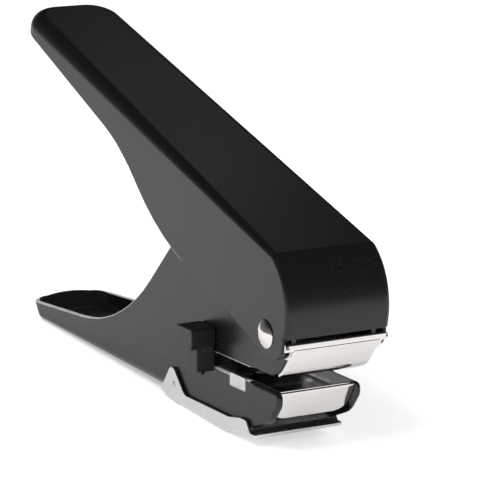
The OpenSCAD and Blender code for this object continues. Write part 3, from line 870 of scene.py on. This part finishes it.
def lower_face():
    points = [p for p in spaced(path(LOWER), 0.6) if p.x > MARK_X[0] - 1 or p.y < LOWER[0][1]]
    run = runs(points)
    mark = MARK_WIDTH / LOWER_HALF
    side = [i / 8 for i in range(1, 9)]
    shares = [-s for s in reversed(side)] + [-mark, 0, mark] + side
    bm = bmesh.new()
    halves = [corner_width(LOWER_HALF, LOWER_CORNER, run[-1] - r + TIP) for r in run]
    plate_grid(bm, points, halves, shares, scribed)
    # behind the mark the top is one flat plate with the slot and two rivet holes
    back, front, level = LOWER[0][0], points[0].x, LOWER[0][1]
    rim = [Vector((front, share * LOWER_HALF)) for share in shares]
    rim += [Vector((back, LOWER_HALF)), Vector((back, -LOWER_HALF))]
    holes = [slot_hole()] + [circle(PUNCH_X, y, RIVET_HOLE, 24) for y in (-RIVET_Y, RIVET_Y)]
    fill_plate(bm, rim, holes, lambda p: Vector((p.x, p.y, level)))
    join_flat(bm)
    orient(bm, (-12, 0, -10))
    return bm


lower = draw("lower_nose_face", lower_face(), STANDING, merge=FINE_MERGE)
sheet(lower, STANDING, LOWER_SHEET, lambda p: NOSE_CUT)
dress(lower, [CHROME], "body", ["lower_nose_plate"])

# %% [markdown]
# ## The chip tray
# The tray is a shallow plated pan that catches the punched chips and swings down to empty. It is
# pressed from thin sheet, so its skin is made like the body's: columns across the floor end in
# the fold on each side, and flat plates of the true outline stand on the folds. Two pegs at the
# rear turn in the body's holes, and a small cross is stamped over each peg.

# %% The chip tray's skin
TRAY_HALF, TRAY_SHEET, TRAY_FOLD, FOLD_STEPS = 15.1, 0.8, 0.9, 6
TRAY_CUT, TRAY_INNER_CUT = 0.2, 0.15
TRAY_FLOOR = [[-54.5, -21.332, 0], [-27.1, -22.768, 1.5], [-15.4, -20.8, 3], [-7.4, -20.6, 1.25],
              [-7.4, -19.3, 0]]
TRAY_WALL = [[-10.2, -19.3, 1], [-12.6, -16, 1], [-16.3, -16, 1], [-23, -17.3, 4], [-51, -17.3, 4],
             [-59.1, -8.9, 2.6], [-66.4, -18.7, 0.4], [-65.9, -19.1, 0.8], [-55.3, -21.1, 0.5]]


def tray_skin():
    floor_path = spaced(path(TRAY_FLOOR), 6)
    columns = []
    for i, p in enumerate(floor_path):
        b = across(p, TRAY_HALF)
        c = b - across(inward(floor_path, i), 0) * REACH
        columns.append(bend(across(p, 0), b, c, TRAY_FOLD, FOLD_STEPS))
    others = mirrored(columns)
    bm = bmesh.new()
    strip(bm, columns)
    strip(bm, others)
    strip(bm, [[a[0], b[0]] for a, b in zip(columns, others)])
    for sign, side in ((1, columns), (-1, others)):
        first, last = side[0][-1], side[-1][-1]
        wall = path([[last.x, last.z, 0]] + TRAY_WALL + [[first.x, first.z, 0]])[1:-1]
        rim = [flat(c[-1]) for c in side] + wall
        fill_plate(bm, rim, [], lambda p, s=sign: across(p, s * TRAY_HALF))
    join_flat(bm)
    orient(bm, (-40, 0, -15))
    return bm


tray = draw("tray_pan", tray_skin(), STANDING)
sheet(tray, STANDING, TRAY_SHEET, lambda p: TRAY_CUT, TRAY_INNER_CUT)
dress(tray, [TRAY], "tray", ["chip_tray"])

# %% The tray's pegs and stamped crosses
PEG_AT, PEG_R, PEG_IN, PEG_OUT = Vector((-57.5, -15.2)), 1.5, 12.7, 14.6
CROSS_HALF, CROSS_IN, CROSS_OUT, CROSS_TURNS = 0.14, 14.7, 15.16, (35, 125)


def tray_pegs():
    bm = bmesh.new()
    for side in (-1, 1):
        peg = [(PEG_IN, 0), (PEG_IN, PEG_R - 0.3), (PEG_IN + 0.1, PEG_R - 0.1),
               (PEG_IN + 0.3, PEG_R), (PEG_OUT, PEG_R), (PEG_OUT, 0)]
        lathe(bm, PEG_AT, [(side * y, r) for y, r in peg])
        for turn in CROSS_TURNS:
            along = Vector((math.cos(math.radians(turn)), math.sin(math.radians(turn))))
            off = Vector((-along.y, along.x)) * CROSS_HALF
            bar = [PEG_AT + along * u + off * v for u, v in ((1, -1), (1, 1), (-1, 1), (-1, -1))]
            prism(bm, [[q.x, q.y, 0.1] for q in bar], *sorted((side * CROSS_IN, side * CROSS_OUT)))
    join_near(bm, PEG_MERGE)
    face_out(bm)
    return bm


pegs = draw("tray_pegs", tray_pegs(), STANDING, merge=PEG_MERGE)
smooth(pegs)
dress(pegs, [TRAY], "tray")

# %% [markdown]
# ## The depth stop's knob
# The knob is moulded plastic: a square head, a stem that reaches down over the slot, and fine
# ribs for a grip between the head and the body. The ribs repeat along a line, so Geometry Nodes
# make them: a line of points, one small round bar on each, then Realize Instances and Set
# Material. The head, the stem and its lip are outlines with thickness and rounded edges. An exact
# Boolean joins them, so that no face is left inside, and their seams stay sharp.

# %% Knob body
KNOB_X, KNOB_L, KNOB_ROUND = -41.85, 9.7, 0.35
KNOB_NEAR, KNOB_FAR, STEM_FAR, LIP_NEAR, LIP_FAR = -14.4, -22.6, -20.4, -17.6, -19.0
SEAM_ANGLE = math.radians(45)


def keep_seams(piece):
    """Marks the seams between joined blocks as sharp."""
    bm = bmesh.new()
    bm.from_mesh(piece.data)
    for edge in bm.edges:
        edge.smooth = len(edge.link_faces) != 2 or edge.calc_face_angle() < SEAM_ANGLE
    bm.to_mesh(piece.data)
    bm.free()


def block(inset, low, low_r, high, high_r):
    """A rounded rectangle between two heights, set in from the knob's ends."""
    x0, x1 = KNOB_X + inset, KNOB_X + KNOB_L - inset
    return [[x0, low, low_r], [x1, low, low_r], [x1, high, high_r], [x0, high, high_r]]


def knob_solid():
    head, stem = block(0, 1.2, 2.2, 8, 0.7), block(0.8, -5.7, 0.5, 3, 0)
    lip = block(0.8, -6.5, 0.4, -5, 0)
    solids = []
    for i, (corners, y0, y1) in enumerate(((head, KNOB_FAR, KNOB_NEAR), (stem, STEM_FAR, KNOB_NEAR),
                                           (lip, LIP_FAR, LIP_NEAR))):
        bm = bmesh.new()
        prism(bm, corners, y0, y1)
        face_out(bm)
        part = draw(f"knob_block_{i}", bm, STANDING, merge=SOLID_MERGE)
        solids.append(soften(part, KNOB_ROUND))
    whole = solids[0]
    for other in solids[1:]:
        union = whole.modifiers.new("union", "BOOLEAN")
        union.operation = "UNION"
        union.solver = "EXACT"
        union.object = other
        settle(whole)
        bpy.data.objects.remove(other)
    whole.name = "depth_stop_grip"
    return whole


knob = knob_solid()
keep_seams(knob)
smooth(knob)
dress(knob, [PLASTIC], "depth_stop", ["depth_stop_knob"])

# %% Helpers for Geometry Nodes
def end_tree(tree, shape, material):
    """Ends a tree in real meshes with their material."""
    real = add(tree, "GeometryNodeRealizeInstances", {0: shape})[0]
    done = add(tree, "GeometryNodeSetMaterial", {"Geometry": real, "Material": material})
    add(tree, "NodeGroupOutput", {"Geometry": done["Geometry"]})
    return tree


def grown(name, tree, sizes, place):
    """Lets a tree make a piece in millimetres, and keeps the result as a plain mesh."""
    carrier = put(name, bpy.data.meshes.new(name))
    maker = carrier.modifiers.new("maker", "NODES")
    maker.node_group = tree
    for item in tree.interface.items_tree:
        if item.in_out == "INPUT" and item.name in sizes:
            maker[item.identifier] = sizes[item.name]
    settle(carrier)
    carrier.data.transform(place)
    bm = bmesh.new()
    bm.from_mesh(carrier.data)
    join_near(bm, SAME_PLACE / 2)
    face_out(bm)
    bm.to_mesh(carrier.data)
    bm.free()
    carrier.data.shade_smooth()
    carrier.data.materials.clear()
    return carrier

# %% Ribs with Geometry Nodes
RIBS = {"Count": 5, "Gap": 0.75, "Radius": 0.24, "Length": 4.6}
RIBS_AT = Vector((KNOB_X + KNOB_L - 0.75, -18.2, 2.6))


def rib_tree():
    tree, given = new_tree("grip_ribs", "GeometryNodeTree", RIBS, ["Geometry"])
    step = add(tree, "ShaderNodeCombineXYZ", {"Y": given["Gap"]})[0]
    row = add(tree, "GeometryNodeMeshLine",
              {"Count": given["Count"], "Offset": step}, mode="OFFSET")
    bar = add(tree, "GeometryNodeMeshCylinder",
              {"Vertices": 12, "Radius": given["Radius"], "Depth": given["Length"]})
    bars = add(tree, "GeometryNodeInstanceOnPoints",
               {"Points": row["Mesh"], "Instance": bar["Mesh"]})
    return end_tree(tree, bars["Instances"], PLASTIC)


ribs = grown("depth_stop_ribs", rib_tree(), RIBS, STANDING @ Matrix.Translation(RIBS_AT))
dress(ribs, [PLASTIC], "depth_stop")

# %% [markdown]
# ## The pivot pin
# The pin is a plain shank whose two ends are peened into low domes. A lathe shape is a profile
# turned round an axis: rings of points make the dome, and the last ring closes on the pole.

# %% The pivot pin
PIN_R, HEAD_R, HEAD_H = 3.0, 4.4, 1.8
HEAD_SEAT = LEVER_HALF + HEAD_R * LEVER_TAPER + 0.02


def pin_profile():
    """Half of the pin, from its middle to the pole of its dome, as (distance along, radius)."""
    dome_r = (HEAD_R ** 2 + HEAD_H ** 2) / (2 * HEAD_H)
    rim = math.asin(HEAD_R / dome_r)
    dome = [(HEAD_SEAT + HEAD_H - dome_r + dome_r * math.cos(rim * i / 9),
             dome_r * math.sin(rim * i / 9)) for i in range(9, -1, -1)]
    return [(0, PIN_R), (HEAD_SEAT, PIN_R), (HEAD_SEAT, HEAD_R - 0.12)] + dome


def pin_mesh():
    half = pin_profile()
    bm = bmesh.new()
    lathe(bm, Vector((PIVOT.x, PIVOT.z)), [(-y, r) for y, r in reversed(half)] + half[1:], 56)
    join_near(bm, SOLID_MERGE)
    face_out(bm)
    return bm


pin = draw("pivot_rivet", pin_mesh(), STANDING, merge=SOLID_MERGE)
smooth(pin)
dress(pin, [CHROME], "lever", ["pivot_pin"])

# %% [markdown]
# ## The return spring
# The spring is one wire wound in a helix. Geometry Nodes make it from a spiral curve and a round
# profile: Curve to Mesh sweeps the wire, so its radius and its turns are two inputs.

# %% Spring with Geometry Nodes
SPRING_AT, SPRING_LENGTH, WIRE_R, SQUEEZED = Vector((-34, 0, 6.05)), 17.4, 0.6, 0.28
COIL = {"Turns": 6.0, "Radius": 4.4, "Wire radius": WIRE_R, "Rise": SPRING_LENGTH - 2 * WIRE_R}


def spring_tree():
    tree, given = new_tree("wound_spring", "GeometryNodeTree", COIL, ["Geometry"])
    helix = add(tree, "GeometryNodeCurveSpiral", {
        "Resolution": 40, "Rotations": given["Turns"], "Start Radius": given["Radius"],
        "End Radius": given["Radius"], "Height": given["Rise"]})
    wire = add(tree, "GeometryNodeCurvePrimitiveCircle",
               {"Resolution": 12, "Radius": given["Wire radius"]}, mode="RADIUS")
    sweep = add(tree, "GeometryNodeCurveToMesh", {
        "Curve": helix["Curve"], "Profile Curve": wire["Curve"], "Fill Caps": True})
    return end_tree(tree, sweep["Mesh"], SPRING)


lift = Matrix.Translation(SPRING_AT + Vector((0, 0, WIRE_R)))
coil = grown("return_coil", spring_tree(), COIL, STANDING @ lift)
dress(coil, [SPRING], "body", ["return_spring"])
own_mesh(coil)

# %% [markdown]
# ## Pieces that keep their CAD shape
# The working parts inside are seen through the throat, from below or when the tray is open.
# Their CAD shape is right, so they only get a finish that fits how each is made; the oiled ones are
# darkened further as painted shade inside the slot and the throat.

# %% Finishes for the carried-over nodes
CARRIED = {
    "die_block": STEEL, "die_rivets": STEEL, "stripper_plate": OILED_AND_SHADED, "punch_guide": OILED_AND_SHADED,
    "guide_rivets": STEEL, "punch_blade": STEEL, "punch_holder": OILED_AND_SHADED, "punch_dowels": STEEL,
    "drive_pin": STEEL, "drive_arm": OILED_AND_SHADED, "pivot_washers": STEEL, "pivot_sleeve": STEEL,
    "spring_seat": OILED_AND_SHADED, "stop_pin": STEEL, "depth_stop_bar": OILED_AND_SHADED,
    "depth_stop_cap": PLASTIC, "depth_stop_screw": STEEL}
for node_name, material in CARRIED.items():
    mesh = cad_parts[node_name].data
    mesh.materials.clear()
    mesh.materials.append(material)
shown = [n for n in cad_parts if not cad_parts[n].hide_render]
print("CAD nodes still shown:", len(shown), "without a finish:", sorted(set(shown) - set(CARRIED)))

# %% [markdown]
# ## Floor and light
# A product photograph has a white floor that runs into a white background. Here the floor is pale
# and matt, so it takes the soft shadow, and a little extra white is added only for camera and
# glossy rays. The camera sees a white world. Mirrors see another one: grey at the horizon and
# nearly black overhead, because the top of the lever mirrors a dark ceiling. A soft glowing card,
# which only mirrors see, adds the pale sheen on the lever. Two large lamps make the soft shading.

# %% Sheets for the stage
def empty_material(name):
    material = bpy.data.materials.new(name)
    material.use_nodes = True
    material.node_tree.nodes.clear()
    return material


def square(name, size, material):
    """A flat square round the origin."""
    h = size / 2
    mesh = bpy.data.meshes.new(name)
    mesh.from_pydata([(-h, -h, 0), (h, -h, 0), (h, h, 0), (-h, h, 0)], [], [(0, 1, 2, 3)])
    mesh.materials.append(material)
    return put(name, mesh)


def facing(place, target):
    """The turn that points an object at its target."""
    return (Vector(target) - Vector(place)).to_track_quat("-Z", "Y").to_euler()

# %% The floor
FLOOR_SIZE, FLOOR_GREY, FLOOR_LIFT, MIRROR_LIFT, FLOOR_GAP = 6.0, 0.86, 0.42, 0.13, 0.0002


def floor_material():
    material = empty_material("studio_floor")
    tree = material.node_tree
    matt = add(tree, "ShaderNodeBsdfDiffuse",
               {"Color": (FLOOR_GREY, FLOOR_GREY, FLOOR_GREY, 1)})[0]
    rays = add(tree, "ShaderNodeLightPath")
    mirrored = maths(tree, "MULTIPLY", rays["Is Glossy Ray"], MIRROR_LIFT)
    amount = maths(tree, "MULTIPLY_ADD", rays["Is Camera Ray"], FLOOR_LIFT, mirrored)
    lift = add(tree, "ShaderNodeEmission", {"Strength": amount})[0]
    total = add(tree, "ShaderNodeAddShader", {0: matt, 1: lift})[0]
    add(tree, "ShaderNodeOutputMaterial", {"Surface": total})
    return material


floor = square("studio_floor", FLOOR_SIZE, floor_material())
floor.location.z = cad_box[0][2] - FLOOR_GAP
floor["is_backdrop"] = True

# %% The world
SKY = ((0.0, 0.4), (0.03, 0.26), (0.10, 0.16), (0.30, 0.12), (0.50, 0.03), (0.75, 0.01),
       (1.0, 0.01))  # height above the horizon, grey
WHITE, AMBIENT = (1, 1, 1, 1), 0.55


def studio_world():
    world = bpy.data.worlds.new("studio_world")
    world.use_nodes = True
    tree = world.node_tree
    tree.nodes.clear()
    split = add(tree, "ShaderNodeSeparateXYZ", {0: add(tree, "ShaderNodeTexCoord")["Generated"]})
    sky = tree.nodes.new("ShaderNodeValToRGB")
    feed(sky, {"Fac": split["Z"]})
    stops = sky.color_ramp.elements
    for height, grey in SKY[1:-1]:
        stops.new(height)
    for stop, (height, grey) in zip(stops, SKY):
        stop.color = (grey, grey, grey, 1)
    mirrored = add(tree, "ShaderNodeBackground", {"Color": sky.outputs["Color"]})[0]
    plain = add(tree, "ShaderNodeBackground", {"Color": WHITE, "Strength": AMBIENT})[0]
    white = add(tree, "ShaderNodeBackground", {"Color": WHITE})[0]
    rays = add(tree, "ShaderNodeLightPath")
    lit = add(tree, "ShaderNodeMixShader", {"Fac": rays["Is Glossy Ray"], 1: plain, 2: mirrored})[0]
    seen = add(tree, "ShaderNodeMixShader", {"Fac": rays["Is Camera Ray"], 1: lit, 2: white})[0]
    add(tree, "ShaderNodeOutputWorld", {"Surface": seen})
    return world


bpy.context.scene.world = studio_world()

# %% Soft lamps
AIM, LAMP_SIZE = (-0.03, 0, 0.05), 0.9
CARD_TINT = (1.0, 0.97, 0.95, 1)


def lamp(name, place, watts):
    data = bpy.data.lights.new(name, "AREA")
    data.shape = "DISK"
    data.size = LAMP_SIZE
    data.energy = watts
    light = put(name, data)
    light.location, light.rotation_euler = place, facing(place, AIM)
    light.visible_glossy = False


def soft_card(place, target, size, reach, strength):
    """A glowing card that only mirrors see, bright in its middle and fading to its rim."""
    material = empty_material("soft_card")
    tree = material.node_tree
    where = add(tree, "ShaderNodeTexCoord")["Object"]
    length = add(tree, "ShaderNodeVectorMath", {0: where}, operation="LENGTH")["Value"]
    fade = add(tree, "ShaderNodeMapRange",
               {"Value": length, "From Min": 0, "From Max": reach, "To Min": strength, "To Max": 0},
               interpolation_type="SMOOTHERSTEP")["Result"]
    glow = add(tree, "ShaderNodeEmission", {"Color": CARD_TINT, "Strength": fade})[0]
    add(tree, "ShaderNodeOutputMaterial", {"Surface": glow})
    card = square("soft_card", size, material)
    card.location, card.rotation_euler = place, facing(place, target)
    card.visible_camera = card.visible_diffuse = card.visible_shadow = False
    card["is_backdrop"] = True


soft_card((-0.385, 0.24, 0.455), (-0.06, 0, 0.09), size=0.6, reach=0.16, strength=0.28)
lamp("key_lamp", (0.3, -0.9, 1.3), watts=14)
lamp("fill_lamp", (0.9, 0.9, 1.1), watts=7)

# %% [markdown]
# ## The camera
# The photograph was taken from the front left, 12 degrees above the level throat, with a long
# lens. The camera is drawn in the throat's frame, like everything else, and leans back with it.

# %% Camera
CAMERA_AT = Vector((713.9, -423.0, 216.9))
RIGHT, UP, BACK = (0.4909, 0.8712, 0.0), (-0.1856, 0.1046, 0.9770), (0.8512, -0.4796, 0.2130)
LENS, SENSOR, FAR_END = 211.8, 36, 20

camera_data = bpy.data.cameras.new("photo_camera")
camera_data.lens = LENS
camera_data.sensor_width = SENSOR
camera_data.clip_end = FAR_END
camera = put("photo_camera", camera_data)
lean = Matrix.Rotation(-LEAN, 4, "Y")
turn = Matrix((RIGHT, UP, BACK)).transposed().to_4x4()
camera.matrix_world = Matrix.Translation(STANDING @ CAMERA_AT) @ lean @ turn
bpy.context.scene.camera = camera
bpy.context.scene.view_settings.view_transform = "Standard"
print("camera at", [round(v, 4) for v in camera.location])

# %% [markdown]
# ## Last sizes
# The boxes of the CAD model and of the visual model are printed side by side. The
# visual model has to stay in the CAD model's box.

# %% Sizes and finish
def plain(box):
    return [[float(v) for v in corner] for corner in box]


{"cad": plain(cad_box), "visual": plain(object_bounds())}
print("CAD box", plain(cad_box))
print("visual box", plain(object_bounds()))
